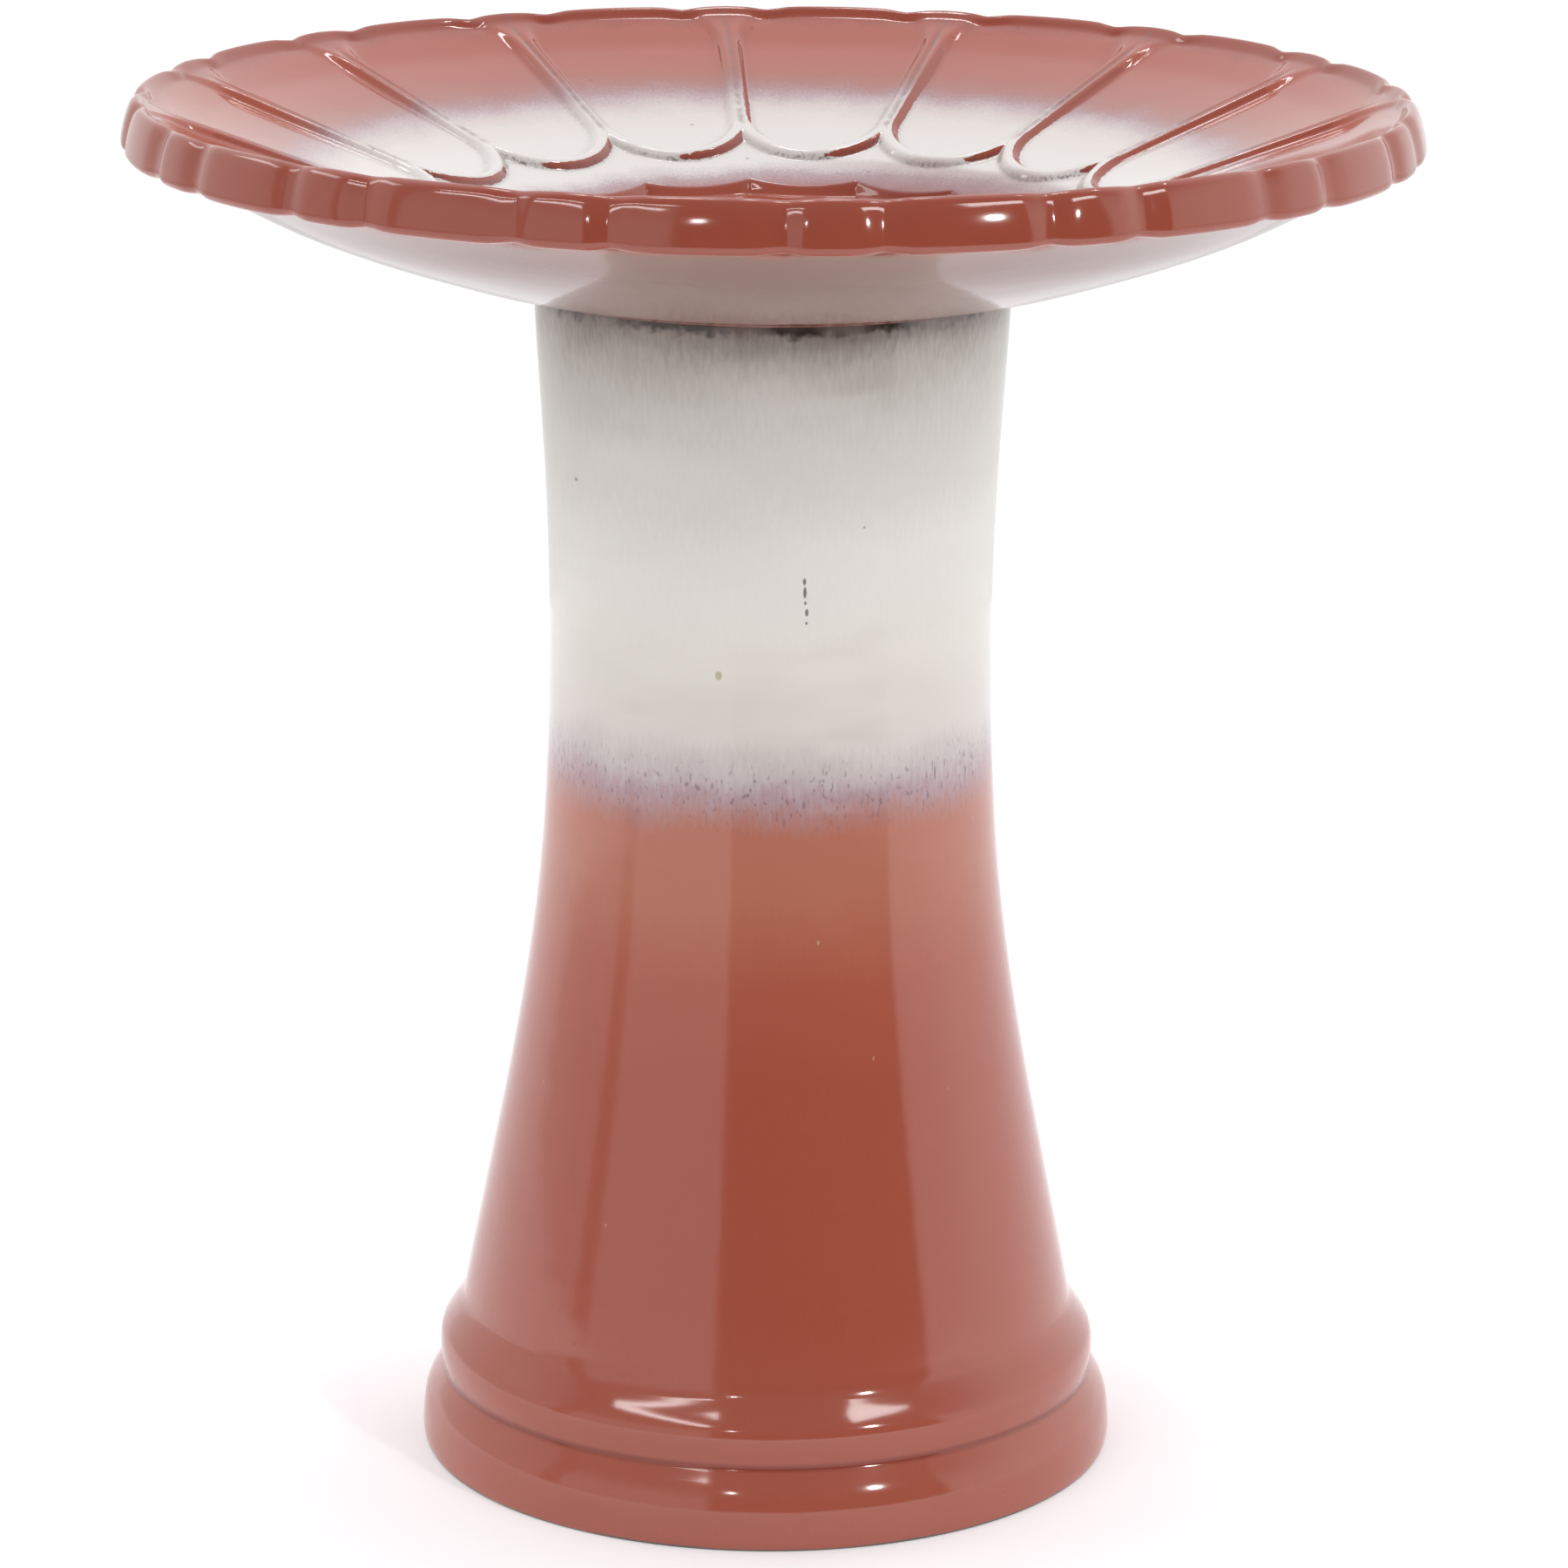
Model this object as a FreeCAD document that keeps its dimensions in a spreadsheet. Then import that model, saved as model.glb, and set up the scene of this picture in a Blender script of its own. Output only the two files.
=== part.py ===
import FreeCAD, Part
import math
import os

import Sketcher

# A two-piece glazed stoneware bird bath, in millimetres.
# The origin is the middle of the pedestal's foot, on the ground, with +Z up.
# Sixteen petals are pressed into the basin: a rib lies on the +X axis and on every 22.5 degrees.

PETALS = 16
PITCH = 360.0 / PETALS
UP = FreeCAD.Vector(0, 0, 1)
CLEAR = 8.0  # how far a cut runs past the clay

SIZES = {
    # basin: rim and outside
    "rim_radius": 254.0,
    "rim_height": 552.0,
    "lip_radius": 248.0,
    "lip_crown": 6.5,
    "band_top": 545.5,
    "band_base": 540.0,
    "band_round": 7.5,
    "collar_radius": 246.5,
    "collar_height": 532.5,
    "shell_radius": 238.5,
    "shell_height": 532.0,
    "shell_curve": 395.0,
    "foot_radius": 108.0,
    "foot_height": 480.3,
    # basin: locating ring below the foot
    "ring_outer": 81.0,
    "ring_inner": 70.0,
    "ring_depth": 10.0,
    # basin: hollow
    "crest_outer": 240.0,
    "crest_top": 548.0,
    "crest_inner": 100.0,
    "crest_low": 498.7,
    "petal_depth": 2.6,
    "petal_waist": 156.0,
    "petal_waist_half": 26.7,
    "petal_shoulder": 222.0,
    "petal_shoulder_half": 38.6,
    "petal_end": 237.0,
    "petal_end_half": 24.0,
    "petal_curve": 27.5,
    "petal_corner": 17.0,
    "petal_draft": 40.0,
    # basin: scalloped well in the middle
    "well_cusp": 143.0,
    "well_curve": 36.0,
    "terrace_drop": 2.8,
    "terrace_edge": 152.0,
    "floor_cusp": 113.6,
    "floor_curve": 74.0,
    "floor_height": 494.5,
    # basin: scallops round the rim
    "scallop_angle": 4.3,
    "scallop_round": 12.0,
    "scallop_depth": 2.0,
    "scallop_dip": 1.7,
    # pedestal: outside
    "plinth_radius": 141.0,
    "plinth_height": 11.0,
    "plinth_round": 29.0,
    "crease_radius": 132.9,
    "crease_height": 32.0,
    "bead_round": 13.0,
    "bead_radius": 132.0,
    "bead_height": 47.5,
    "neck_radius": 123.7,
    "neck_height": 61.5,
    "flare_radius": 104.3,
    "flare_height": 160.0,
    "flare_curve": 1010.0,
    "waist_radius": 88.2,
    "waist_height": 340.0,
    "throat_radius": 93.8,
    "throat_height": 466.0,
    "throat_curve": 1420.0,
    "mouth_height": 480.0,
    "mouth_round": 5.0,
    "mouth_flat": 89.0,
    # pedestal: hollow
    "wall": 10.0,
    "foot_width": 11.0,
}


class Size:
    """A number that remembers how the sheet works it out.

    Args:
        value: The number, in millimetres or degrees.
        text: The expression that gives it from the sheet's cells.
    """

    def __init__(self, value, text):
        self.value = value
        self.text = text

    def __add__(self, other):
        other = as_size(other)
        return Size(self.value + other.value, f"({self.text} + {other.text})")

    def __sub__(self, other):
        other = as_size(other)
        return Size(self.value - other.value, f"({self.text} - {other.text})")

    def __mul__(self, other):
        other = as_size(other)
        return Size(self.value * other.value, f"({self.text} * {other.text})")

    def __truediv__(self, other):
        other = as_size(other)
        return Size(self.value / other.value, f"({self.text} / {other.text})")

    def __neg__(self):
        return Size(-self.value, f"(0 - {self.text})")


def as_size(number):
    """Return a plain number as a Size, and a Size as it is."""
    if isinstance(number, Size):
        return number
    return Size(float(number), f"{float(number):.9f}")


def driving_sheet(document):
    """Write the driving sizes to a sheet and return them by name."""
    sheet = document.addObject("Spreadsheet::Sheet", "sizes")
    for row, (name, value) in enumerate(SIZES.items(), start=1):
        sheet.set(f"A{row}", name)
        sheet.set(f"B{row}", str(value))
        sheet.setAlias(f"B{row}", name)
    document.recompute()
    return {name: Size(value, f"sizes.{name}") for name, value in SIZES.items()}


def origin_plane(body, role):
    """Return one of the body's own origin planes."""
    for feature in body.Origin.OriginFeatures:
        if feature.Role == role:
            return feature
    raise RuntimeError(f"{body.Label} has no {role}")


def new_sketch(body, name, role, offset=None):
    """Add a sketch to a body, flat on one of its origin planes or offset from it."""
    sketch = body.newObject("Sketcher::SketchObject", name)
    sketch.AttachmentSupport = [(origin_plane(body, role), "")]
    sketch.MapMode = "FlatFace"
    if offset is not None:
        sketch.AttachmentOffset = offset
    return sketch


def bind(sketch, index, name, size):
    """Name a constraint and bind it to its expression."""
    sketch.renameConstraint(index, name)
    sketch.setExpression(f"Constraints.{name}", size.text)


def place_corner(sketch, side, end, label, corner):
    """Hold a side's end at its place across and up."""
    for axis, kind, size in ((-2, "DistanceX", corner[0]), (-1, "DistanceY", corner[1])):
        if abs(size.value) < 1e-9:
            sketch.addConstraint(Sketcher.Constraint("PointOnObject", side, end, axis))
            continue
        if size.value > 0:
            rule = Sketcher.Constraint(kind, -1, 1, side, end, size.value)
        else:
            size = -size
            rule = Sketcher.Constraint(kind, side, end, -1, 1, size.value)
        bind(sketch, sketch.addConstraint(rule), f"{label}{kind[-1]}", size)


def arc_between(start, finish, radius):
    """Return the short arc from start to finish: it turns left if the radius is above zero."""
    chord = finish - start
    rise = math.sqrt(radius * radius - chord.Length * chord.Length / 4.0)
    left = FreeCAD.Vector(-chord.y, chord.x, 0).normalize()
    centre = (start + finish) * 0.5 + left * math.copysign(rise, radius)
    first, last = (start, finish) if radius > 0 else (finish, start)
    angles = [math.atan2(point.y - centre.y, point.x - centre.x) for point in (first, last)]
    if angles[1] < angles[0]:
        angles[1] += 2 * math.pi
    return Part.ArcOfCircle(Part.Circle(centre, UP, abs(radius)), angles[0], angles[1])


def outline(sketch, corners, bends=None):
    """Draw a closed outline through the corners.

    Args:
        sketch: The sketch to draw in.
        corners: A list of (across, up) sizes.
        bends: The radius of each curved side, by the number of the corner that it starts from.
            It is above zero where the side turns left.
    """
    bends = bends or {}
    prefix = f"p{sketch.GeometryCount}_"
    points = [FreeCAD.Vector(across.value, up.value, 0) for across, up in corners]
    ends = []
    for index, start in enumerate(points):
        finish = points[(index + 1) % len(points)]
        bend = bends.get(index)
        if bend is None:
            side = sketch.addGeometry(Part.LineSegment(start, finish))
            ends.append((side, 1, 2))
            continue
        side = sketch.addGeometry(arc_between(start, finish, bend.value))
        ends.append((side, 1, 2) if bend.value > 0 else (side, 2, 1))
        radius = bend if bend.value > 0 else -bend
        rule = sketch.addConstraint(Sketcher.Constraint("Radius", side, radius.value))
        bind(sketch, rule, f"{prefix}bend{index}", radius)
    for index, (side, _, last) in enumerate(ends):
        following = ends[(index + 1) % len(ends)]
        sketch.addConstraint(Sketcher.Constraint("Coincident", side, last, following[0], following[1]))
    for index, (side, first, _) in enumerate(ends):
        place_corner(sketch, side, first, f"{prefix}corner{index}", corners[index])


def circle(sketch, across, up, radius):
    """Draw a circle at a place in the sketch."""
    centre = FreeCAD.Vector(across.value, up.value, 0)
    index = sketch.addGeometry(Part.Circle(centre, UP, radius.value))
    rule = sketch.addConstraint(Sketcher.Constraint("Radius", index, radius.value))
    bind(sketch, rule, f"round{index}", radius)
    place_corner(sketch, index, 3, f"centre{index}", (across, up))


def revolve(body, sketch, name):
    """Turn a half section about the sketch's upright axis."""
    feature = body.newObject("PartDesign::Revolution", name)
    feature.Profile = sketch
    feature.ReferenceAxis = (sketch, ["V_Axis"])
    feature.Angle = 360.0
    return feature


def pocket(body, sketch, name, length, upward=False):
    """Cut a sketch's outline out of the body, below the sketch or above it."""
    feature = body.newObject("PartDesign::Pocket", name)
    feature.Profile = sketch
    feature.Reversed = upward
    feature.setExpression("Length", length.text)
    return feature


def around(body, name, features):
    """Repeat features once for each petal."""
    pattern = body.newObject("PartDesign::PolarPattern", name)
    pattern.Originals = features
    pattern.Axis = (origin_plane(body, "Z_Axis"), [""])
    pattern.Angle = 360.0
    pattern.Occurrences = PETALS
    body.Tip = pattern
    return pattern


def scallops(sketch, cusp, curve):
    """Draw a ring of arcs, one for each petal, that bulge inward between outward cusps."""
    corners = []
    for number in range(PETALS):
        angle = math.radians(PITCH * number)
        corners.append((cusp * round(math.cos(angle), 9), cusp * round(math.sin(angle), 9)))
    outline(sketch, corners, {number: -curve for number in range(PETALS)})


def slope_plane(size, turn, lift):
    """Return the place of a sketch that lies along the basin's slope.

    Args:
        size: The driving sizes by name.
        turn: The direction round the basin, in degrees from +X.
        lift: The sketch's height above the slope, square to it.
    """
    run = size["crest_outer"].value - size["crest_inner"].value
    rise = size["crest_top"].value - size["crest_low"].value
    slope = math.degrees(math.atan2(rise, run))
    apex = size["crest_low"].value - size["crest_inner"].value * rise / run
    place = FreeCAD.Placement(FreeCAD.Vector(0, 0, apex), FreeCAD.Rotation(UP, turn - 90.0))
    tilt = FreeCAD.Placement(FreeCAD.Vector(), FreeCAD.Rotation(FreeCAD.Vector(1, 0, 0), slope))
    return place * tilt * FreeCAD.Placement(UP * lift, FreeCAD.Rotation())


def make_basin(document, size):
    """Build the petalled basin, with the locating ring under it."""
    body = document.addObject("PartDesign::Body", "basin")
    nought = as_size(0)

    section = new_sketch(body, "basin_section", "XZ_Plane")
    outline(
        section,
        [
            (nought, size["foot_height"]),
            (size["ring_inner"], size["foot_height"]),
            (size["ring_inner"], size["foot_height"] - size["ring_depth"]),
            (size["ring_outer"], size["foot_height"] - size["ring_depth"]),
            (size["ring_outer"], size["foot_height"]),
            (size["foot_radius"], size["foot_height"]),
            (size["shell_radius"], size["shell_height"]),
            (size["collar_radius"], size["collar_height"]),
            (size["rim_radius"], size["band_base"]),
            (size["rim_radius"], size["band_top"]),
            (size["lip_radius"], size["rim_height"]),
            (size["crest_outer"], size["crest_top"]),
            (size["crest_inner"], size["crest_low"]),
            (nought, size["crest_low"]),
        ],
        {5: size["shell_curve"], 7: size["band_round"], 9: size["lip_crown"]},
    )
    revolve(body, section, "basin_blank")

    panel_floor = slope_plane(size, PITCH / 2, -size["petal_depth"].value)
    petal = new_sketch(body, "petal_outline", "XY_Plane", panel_floor)
    run = size["crest_outer"] - size["crest_inner"]
    rise = size["crest_top"] - size["crest_low"]
    stretch = Size(math.hypot(1.0, rise.value / run.value), f"sqrt(1 + ({rise.text} / {run.text})^2)")
    outline(
        petal,
        [
            (-size["petal_waist_half"], size["petal_waist"] * stretch),
            (size["petal_waist_half"], size["petal_waist"] * stretch),
            (size["petal_shoulder_half"], size["petal_shoulder"] * stretch),
            (size["petal_end_half"], size["petal_end"] * stretch),
            (-size["petal_end_half"], size["petal_end"] * stretch),
            (-size["petal_shoulder_half"], size["petal_shoulder"] * stretch),
        ],
        {0: size["petal_curve"], 2: size["petal_corner"], 4: size["petal_corner"]},
    )
    panel = pocket(body, petal, "petal_panel", size["petal_depth"] + CLEAR, upward=True)
    panel.setExpression("TaperAngle", size["petal_draft"].text)
    around(body, "petal_panels", [panel])

    swing = math.radians(SIZES["scallop_angle"])
    above = FreeCAD.Placement(UP * (SIZES["rim_height"] + CLEAR), FreeCAD.Rotation())
    beyond = FreeCAD.Placement(UP * (SIZES["rim_radius"] + CLEAR), FreeCAD.Rotation())
    side = new_sketch(body, "scallop_sides", "XY_Plane", above)
    dip = new_sketch(body, "scallop_dips", "YZ_Plane", beyond)
    reach = size["rim_radius"] - size["scallop_depth"] + size["scallop_round"]
    top = size["rim_height"] - size["scallop_dip"] + size["scallop_round"]
    for sign in (-1, 1):
        circle(side, reach * math.cos(swing), reach * (sign * math.sin(swing)), size["scallop_round"])
        circle(dip, size["lip_radius"] * (sign * math.sin(swing)), top, size["scallop_round"])
    sides = pocket(body, side, "scallop_side", size["rim_height"] - size["shell_height"] + 2 * CLEAR)
    dips = pocket(body, dip, "scallop_dip", size["rim_radius"] - size["crest_outer"] + 2 * CLEAR)
    around(body, "rim_scallops", [sides, dips])

    floor = new_sketch(body, "floor_outline", "XY_Plane")
    floor.setExpression("AttachmentOffset.Base.z", size["floor_height"].text)
    scallops(floor, size["floor_cusp"], size["floor_curve"])
    depth = size["crest_low"] - size["floor_height"] + CLEAR
    body.Tip = pocket(body, floor, "basin_floor", depth, upward=True)

    well = document.addObject("PartDesign::Body", "well")
    section = new_sketch(well, "well_section", "XZ_Plane")
    slope = rise / run
    edge = size["crest_low"] - size["terrace_drop"] + (size["terrace_edge"] - size["crest_inner"]) * slope
    outline(
        section,
        [
            (nought, size["crest_low"] - size["terrace_drop"]),
            (size["crest_inner"], size["crest_low"] - size["terrace_drop"]),
            (size["terrace_edge"], edge),
            (size["terrace_edge"], size["rim_height"]),
            (nought, size["rim_height"]),
        ],
    )
    revolve(well, section, "well_cone")
    surround = new_sketch(well, "well_outline", "XY_Plane")
    scallops(surround, size["well_cusp"], size["well_curve"])
    circle(surround, nought, nought, size["rim_radius"])
    well.Tip = pocket(well, surround, "well_surround", size["rim_height"] + CLEAR, upward=True)
    return body, well


def make_pedestal(document, size):
    """Build the hollow, flared pedestal with its two rounded rings at the foot."""
    body = document.addObject("PartDesign::Body", "pedestal")
    nought = as_size(0)
    wall = size["wall"]
    section = new_sketch(body, "pedestal_section", "XZ_Plane")
    outline(
        section,
        [
            (size["plinth_radius"] - size["foot_width"], nought),
            (size["plinth_radius"], nought),
            (size["plinth_radius"], size["plinth_height"]),
            (size["crease_radius"], size["crease_height"]),
            (size["bead_radius"], size["bead_height"]),
            (size["neck_radius"], size["neck_height"]),
            (size["flare_radius"], size["flare_height"]),
            (size["waist_radius"], size["waist_height"]),
            (size["throat_radius"], size["throat_height"]),
            (size["throat_radius"], size["mouth_height"] - size["mouth_round"]),
            (size["mouth_flat"], size["mouth_height"]),
            (size["throat_radius"] - wall, size["mouth_height"]),
            (size["throat_radius"] - wall, size["throat_height"]),
            (size["waist_radius"] - wall, size["waist_height"]),
            (size["flare_radius"] - wall, size["flare_height"]),
            (size["neck_radius"] - wall, size["neck_height"]),
            (size["crease_radius"] - wall, size["crease_height"]),
            (size["plinth_radius"] - size["foot_width"], size["plinth_height"]),
        ],
        {
            2: size["plinth_round"],
            3: size["bead_round"],
            6: -size["flare_curve"],
            7: -size["throat_curve"],
            9: size["mouth_round"],
            12: size["throat_curve"],
            13: size["flare_curve"],
        },
    )
    revolve(body, section, "pedestal_wall")
    return body


def check(document, parts):
    """Stop if any object failed or any sub-part has no sound solid."""
    for item in document.Objects:
        if "Invalid" in item.State or "Error" in item.State:
            raise RuntimeError(f"{item.Label} failed: {item.State}")
    for item in parts:
        if item.Shape.isNull() or not item.Shape.isValid() or len(item.Shape.Solids) != 1:
            raise RuntimeError(f"{item.Label} has no sound solid")


def main():
    document = FreeCAD.newDocument("bird_bath")
    size = driving_sheet(document)
    body, well = make_basin(document, size)
    pedestal = make_pedestal(document, size)
    basin = document.addObject("Part::Cut", "petalled_basin")
    basin.Base = body
    basin.Tool = well
    document.recompute()

    body.Label = "basin_blank_body"
    basin.Label = "basin"
    pedestal.Label = "pedestal"
    parts = (pedestal, basin)
    check(document, parts)
    os.makedirs("parts", exist_ok=True)
    for item in parts:
        item.Shape.exportStep(f"parts/{item.Label}.step")
        box = item.Shape.optimalBoundingBox()
        print(f"{item.Label}: {box.XLength:.1f} x {box.YLength:.1f} x {box.ZLength:.1f} mm")
        print(f"{item.Label}: {item.Shape.Volume / 1e6:.4f} litres, {len(item.Shape.Faces)} faces")


main()
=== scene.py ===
"""Looks of a glazed two-piece bird bath: a petalled basin that rests on a hollow pedestal."""

import logging
import math
from dataclasses import dataclass, field
from enum import Enum
from functools import partial
from typing import Any, Iterable

import bmesh
import bpy
from mathutils import Matrix, Vector


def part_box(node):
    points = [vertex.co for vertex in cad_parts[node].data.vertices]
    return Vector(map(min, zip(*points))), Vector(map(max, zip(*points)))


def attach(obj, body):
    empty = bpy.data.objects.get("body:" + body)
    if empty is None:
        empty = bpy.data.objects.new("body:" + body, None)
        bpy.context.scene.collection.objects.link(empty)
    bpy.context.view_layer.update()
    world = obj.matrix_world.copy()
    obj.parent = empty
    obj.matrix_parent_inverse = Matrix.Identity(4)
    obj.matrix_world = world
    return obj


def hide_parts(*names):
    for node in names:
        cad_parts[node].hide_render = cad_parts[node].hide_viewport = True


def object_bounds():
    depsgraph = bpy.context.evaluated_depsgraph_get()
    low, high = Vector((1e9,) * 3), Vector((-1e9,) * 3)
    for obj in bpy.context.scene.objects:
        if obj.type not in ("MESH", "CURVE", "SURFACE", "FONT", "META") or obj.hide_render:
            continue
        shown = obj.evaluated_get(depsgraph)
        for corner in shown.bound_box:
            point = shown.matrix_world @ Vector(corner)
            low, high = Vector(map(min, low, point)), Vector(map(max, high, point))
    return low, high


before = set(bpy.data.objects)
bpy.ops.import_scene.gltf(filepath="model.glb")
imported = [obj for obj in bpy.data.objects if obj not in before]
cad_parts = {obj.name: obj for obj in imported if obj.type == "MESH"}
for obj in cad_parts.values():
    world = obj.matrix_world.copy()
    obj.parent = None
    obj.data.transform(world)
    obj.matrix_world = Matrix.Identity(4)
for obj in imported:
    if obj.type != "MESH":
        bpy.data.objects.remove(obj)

CAD_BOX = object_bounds()
MM = 0.001
SMOOTH = {"interpolation_type": "SMOOTHSTEP"}
RGBA = {"data_type": "RGBA"}
TINT = {"data_type": "RGBA", "blend_type": "MULTIPLY"}
Colour = tuple[float, float, float, float]

log = logging.getLogger("bird_bath")


class Part(Enum):
    """The CAD nodes, bodies and finish slots that the pieces here stand for."""

    BASIN = "basin"
    PEDESTAL = "pedestal"

    @property
    def slot(self) -> str:
        """Name of the record's material slot for this part."""
        return f"{self.value}_glaze"


# ---------------------------------------------------------------- small numbers


def lerp(low: float, high: float, share: float) -> float:
    """Go from low to high by a share from 0 to 1."""
    return low + (high - low) * share


def ease(low: float, high: float, value: float) -> float:
    """Rise smoothly from 0 at low to 1 at high.

    Args:
        low: Value at which the rise starts.
        high: Value at which it ends.
        value: Where on the rise to read it.

    Returns:
        A share from 0 to 1.
    """
    share = min(max((value - low) / (high - low), 0.0), 1.0)
    return share * share * (3.0 - 2.0 * share)


def bump(centre: float, width: float, value: float) -> float:
    """Give a bell of height 1 at centre that has faded a width away."""
    return math.exp(-(((value - centre) / width) ** 2))


def linear(code: str) -> Colour:
    """Turn an sRGB hex colour into the linear values that nodes take.

    Args:
        code: Six hex digits after a hash.

    Returns:
        Red, green, blue and an alpha of 1.
    """
    parts = [int(code[i:i + 2], 16) / 255.0 for i in (1, 3, 5)]
    red, green, blue = (p / 12.92 if p <= 0.04045 else ((p + 0.055) / 1.055) ** 2.4 for p in parts)
    return red, green, blue, 1.0


# ---------------------------------------------------------------- mesh helpers


def smooth_run(knots: list[tuple[float, float]], steps: int) -> list[tuple[float, float]]:
    """Round a run of section points into a smooth curve that passes through them all.

    Args:
        knots: Radius and height of each point, in millimetres.
        steps: Number of pieces that each gap between two points is cut into.

    Returns:
        The finer run, from the first point to the last.
    """
    ends = [knots[0], *knots, knots[-1]]
    run = []
    for before, here, there, after in zip(ends, ends[1:], ends[2:], ends[3:]):
        for step in range(steps):
            t = step / steps
            run.append(tuple(
                0.5 * (2 * q + (r - p) * t + (2 * p - 5 * q + 4 * r - s) * t * t
                       + (3 * q - p - 3 * r + s) * t ** 3)
                for p, q, r, s in zip(before, here, there, after)))
    run.append(knots[-1])
    return run


def spun(section: Iterable[tuple[float, float]], spokes: int, sectors: int = 16) -> bmesh.types.BMesh:
    """Turn a section about the upright axis into a closed shell.

    Args:
        section: Radius and height of each point, in millimetres.
        spokes: Number of steps in one sector.
        sectors: Number of equal sectors in the full turn.

    Returns:
        A new bmesh in metres, with its seams and poles merged.
    """
    shell = bmesh.new()
    points = [shell.verts.new((radius * MM, 0.0, height * MM)) for radius, height in section]
    chain = [shell.edges.new(pair) for pair in zip(points, points[1:])]
    sector = math.tau / sectors
    bmesh.ops.spin(shell, geom=points + chain, cent=(0, 0, 0), axis=(0, 0, 1), dvec=(0, 0, 0),
                   angle=sector, steps=spokes, use_merge=False, use_duplicate=False)
    whole = [*shell.verts, *shell.edges, *shell.faces]
    bmesh.ops.spin(shell, geom=whole, cent=(0, 0, 0), axis=(0, 0, 1), dvec=(0, 0, 0),
                   angle=math.tau - sector, steps=sectors - 1, use_merge=False,
                   use_duplicate=True)
    bmesh.ops.remove_doubles(shell, verts=shell.verts, dist=0.01 * MM)
    return shell


def finished(shell: bmesh.types.BMesh, name: str) -> bpy.types.Object:
    """Make a smooth, outward-facing object from a bmesh and free the bmesh.

    Args:
        shell: The closed shell, in metres.
        name: Name for the object and its mesh.

    Returns:
        The new object, linked into the scene at the origin.
    """
    bmesh.ops.recalc_face_normals(shell, faces=shell.faces)
    for face in shell.faces:
        face.smooth = True
    mesh = bpy.data.meshes.new(name)
    shell.to_mesh(mesh)
    shell.free()
    piece = bpy.data.objects.new(name, mesh)
    bpy.context.collection.objects.link(piece)
    return piece


# ---------------------------------------------------------------- finishes


def add_node(tree: bpy.types.NodeTree, kind: str, *terms: Any,
             feeds: dict[str, Any] | None = None, **settings: Any) -> bpy.types.Node:
    """Add a node with its settings, its values and the links that come into it.

    Args:
        tree: Tree to add to.
        kind: Blender's type name, without its ShaderNode prefix.
        *terms: What goes into the node's live sockets, in their order: a value, an output
            socket, or a node whose first live output is meant.
        feeds: The same for sockets that are given by name.
        **settings: Properties of the node itself.

    Returns:
        The new node.
    """
    node = tree.nodes.new(f"ShaderNode{kind}")
    for name, value in settings.items():
        setattr(node, name, value)
    pairs = [*zip((socket for socket in node.inputs if socket.enabled), terms)]
    pairs += [(node.inputs[name], value) for name, value in (feeds or {}).items()]
    for socket, value in pairs:
        if isinstance(value, bpy.types.Node):
            value = next(output for output in value.outputs if output.enabled)
        if isinstance(value, bpy.types.NodeSocket):
            tree.links.new(value, socket)
        else:
            socket.default_value = value
    return node


def set_stops(ramp: bpy.types.Node, stops: dict[float, Colour]) -> bpy.types.Node:
    """Give a colour ramp its stops.

    Args:
        ramp: A new ramp with its first two stops.
        stops: Place on the ramp, from 0 to 1, to the colour there, in rising order.

    Returns:
        The ramp.
    """
    marks = ramp.color_ramp.elements
    marks.remove(marks[1])
    for number, (place, colour) in enumerate(stops.items()):
        mark = marks.new(place) if number else marks[0]
        mark.color = colour
    return ramp


@dataclass(frozen=True)
class Mark:
    """A blemish at a fixed place on the glaze."""

    centre: tuple[float, float, float]   # millimetres
    reach: tuple[float, float, float]    # half its size along each axis, millimetres
    code: str                            # its colour


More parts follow.
